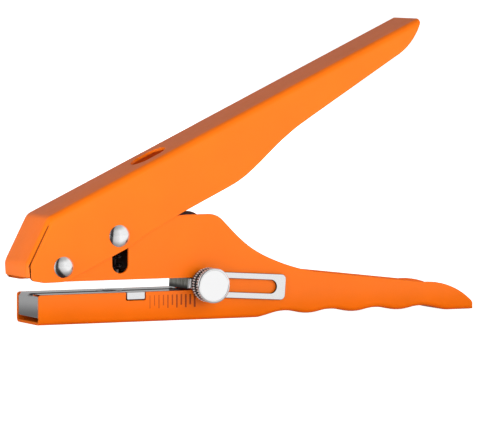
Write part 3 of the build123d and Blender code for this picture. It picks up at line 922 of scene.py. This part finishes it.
# What the metal mirrors at each heading, in degrees round from the front
MIRRORED = (
    (-180.0, 0.42), (-125.0, 0.42), (-100.0, 0.90), (-67.0, 0.90), (-61.0, 0.02), (-41.0, 0.02),
    (-34.0, 0.66), (0.0, 0.84), (14.0, 1.0), (105.0, 1.0), (140.0, 0.42), (180.0, 0.42),
)
FLOOR_REACH = 14.0
FLOOR_DROP = 0.05 * MM
# The camera that was fitted to the photograph, with its focal length in pixels
CAMERA_PLACE = (-0.770254, -1.801628, 0.164970)
CAMERA_DOWN = 3.5009
CAMERA_ROUND = -24.7472
FOCAL_PIXELS = 4800.16
PICTURE_WIDTH = 485.0
SENSOR_WIDTH = 36.0


def soft_box(name, round_deg, up_deg, distance, width, height, radiance):
    """An area light that faces the punch, from an angle round it and an angle above it."""
    turn, lift = math.radians(round_deg), math.radians(up_deg)
    way = np.array([
        math.sin(turn) * math.cos(lift), -math.cos(turn) * math.cos(lift), math.sin(lift)
    ])
    light = bpy.data.lights.new(name, "AREA")
    light.shape = "RECTANGLE"
    light.size, light.size_y = width, height
    light.energy = radiance * math.pi * width * height
    lamp = bpy.data.objects.new(name, light)
    lamp.location = MIDDLE + way * distance
    lamp.rotation_euler = (math.radians(90.0) - lift, 0.0, turn)
    lamp.visible_camera = False
    lamp.visible_glossy = False
    bpy.context.scene.collection.objects.link(lamp)


def by_ray(tree, camera, coats, metal):
    """One strength for what the camera sees, one for diffuse light and one for reflections."""
    path = tree.nodes.new("ShaderNodeLightPath")
    total = 0.0
    for ray, strength in (
        ("Is Camera Ray", camera), ("Is Diffuse Ray", coats), ("Is Glossy Ray", metal)
    ):
        total = calculate(tree, "MULTIPLY_ADD", path.outputs[ray], strength, total)
    return total


def mirrored(tree, x, y):
    """The strength that the metal mirrors along a heading, whose tangent is x over minus y."""
    heading = calculate(tree, "ARCTAN2", x, times(tree, y, -1.0))
    node = tree.nodes.new("ShaderNodeValToRGB")
    node.color_ramp.interpolation = "EASE"
    stops = node.color_ramp.elements
    while len(stops) < len(MIRRORED):
        stops.new(0.5)
    for stop, (degrees, strength) in zip(stops, MIRRORED):
        stop.position = degrees / 360.0 + 0.5
        stop.color = (strength, strength, strength, 1.0)
    turn = calculate(tree, "MULTIPLY_ADD", heading, 1.0 / TAU, 0.5)
    tree.links.new(turn, node.inputs["Fac"])
    return node.outputs["Color"]


def studio_world():
    """White to the camera, dim to the coats, and to the metal a ring of light and dark."""
    world = bpy.data.worlds.new("studio")
    bpy.context.scene.world = world
    world.use_nodes = True
    tree = world.node_tree
    x, y, z = places(tree, "Generated")
    metal = times(tree, mirrored(tree, x, y), fade(tree, z, 0.5, 0.95, 1.0, 0.5))
    feed_all(tree, tree.nodes["Background"], {
        "Color": (1.0, 1.0, 1.0), "Strength": by_ray(tree, 1.0, 0.14, metal),
    })


def pale_floor():
    """A pale floor that glows: white to the camera; to the coats a painted light, strongest to the
    left and dimmed close in front as painted shadow; dark in reflections but for the metal's ring.
    """
    material, tree, shader = new_material("pale_floor")
    pale = colour("floor")
    tone = ramp(tree, noise(tree, 5.0, 2.0), 0.2, scaled(pale, 0.99), 0.8, pale)
    path = tree.nodes.new("ShaderNodeLightPath")
    x, y, _ = places(tree)
    # painted light: the floor glows to light the coats, most to the left; close in front of the
    # punch the glow dims as painted shadow
    left = fade(tree, x, -0.20, -0.02, 3.0, 0.0)
    ahead = fade(tree, y, 0.03, 0.15, 1.0, 0.04)
    near = fade(tree, y, -0.04, -0.013, 0.62, 0.03)
    coats = calculate(tree, "ADD", times(tree, left, ahead), near)
    # painted shade in reflections: near the punch the floor mirrors dark, and it is dark to glossy
    # rays
    away = fade(tree, y, -0.06, -0.01, 1.0, 0.3)
    behind = fade(tree, y, 0.03, 0.15, 0.0, 0.26)
    metal = calculate(tree, "ADD", times(tree, mirrored(tree, x, y), away), behind)
    feed_all(tree, shader, {
        "Base Color": blend(tree, path.outputs["Is Glossy Ray"], tone, scaled(pale, 0.04)),
        "Roughness": 0.7,
        "Specular IOR Level": 0.1,
        "Emission Color": (1.0, 1.0, 1.0),
        "Emission Strength": by_ray(tree, 1.0, coats, metal),
    })
    return material


def studio_camera():
    """The camera at the photograph's viewing angle."""
    lens = bpy.data.cameras.new("camera")
    lens.sensor_width = SENSOR_WIDTH
    lens.lens = SENSOR_WIDTH * FOCAL_PIXELS / PICTURE_WIDTH
    lens.clip_end = 100.0
    camera = bpy.data.objects.new("camera", lens)
    camera.location = CAMERA_PLACE
    camera.rotation_euler = (math.radians(90.0 - CAMERA_DOWN), 0.0, math.radians(CAMERA_ROUND))
    bpy.context.scene.collection.objects.link(camera)
    bpy.context.scene.camera = camera


class PUNCH_OT_studio(bpy.types.Operator):
    """Set up the floor, the lights and the camera"""

    bl_idname = "punch.studio"
    bl_label = "Set up the studio"

    def execute(self, context):
        corners = np.array([[-1, -1], [1, -1], [1, 1], [-1, 1]]) * FLOOR_REACH
        floor = make_piece(
            "studio_floor", np.column_stack([corners, np.full(4, -FLOOR_DROP)]), [[0, 1, 2, 3]]
        )
        floor.data.materials.append(pale_floor())
        studio_world()
        for box in SOFT_BOXES:
            soft_box(*box)
        studio_camera()
        context.scene.view_settings.view_transform = "Standard"
        context.scene.view_settings.look = "None"
        return {"FINISHED"}


# Add-on
class PUNCH_PT_panel(bpy.types.Panel):
    """The punch's sizes, colours and steps"""

    bl_idname = "PUNCH_PT_panel"
    bl_label = "Single hole punch"
    bl_space_type = "VIEW_3D"
    bl_region_type = "UI"
    bl_category = "Punch"

    def draw(self, context):
        layout = self.layout
        for group in (context.scene.punch_sizes, context.scene.punch_colours):
            box = layout.box()
            for prop in group.bl_rna.properties:
                if prop.identifier not in {"rna_type", "name"}:
                    box.prop(group, prop.identifier)
        for operator in OPERATORS:
            layout.operator(operator.bl_idname)


OPERATORS = (
    PUNCH_OT_solids, PUNCH_OT_sheets, PUNCH_OT_rivets, PUNCH_OT_knob, PUNCH_OT_spring,
    PUNCH_OT_marks, PUNCH_OT_studio,
)
CLASSES = (PunchSizes, PunchColours, *OPERATORS, PUNCH_PT_panel)


def register():
    """Registers the classes and gives the scene its sizes and colours."""
    for cls in CLASSES:
        bpy.utils.register_class(cls)
    bpy.types.Scene.punch_sizes = bpy.props.PointerProperty(type=PunchSizes)
    bpy.types.Scene.punch_colours = bpy.props.PointerProperty(type=PunchColours)


def unregister():
    """Takes back what register did."""
    del bpy.types.Scene.punch_colours
    del bpy.types.Scene.punch_sizes
    for cls in reversed(CLASSES):
        bpy.utils.unregister_class(cls)


def main():
    register()
    bpy.ops.punch.solids()
    bpy.ops.punch.sheets()
    bpy.ops.punch.rivets()
    bpy.ops.punch.knob()
    bpy.ops.punch.spring()
    bpy.ops.punch.marks()
    bpy.ops.punch.studio()


if __name__ == "__main__":
    main()
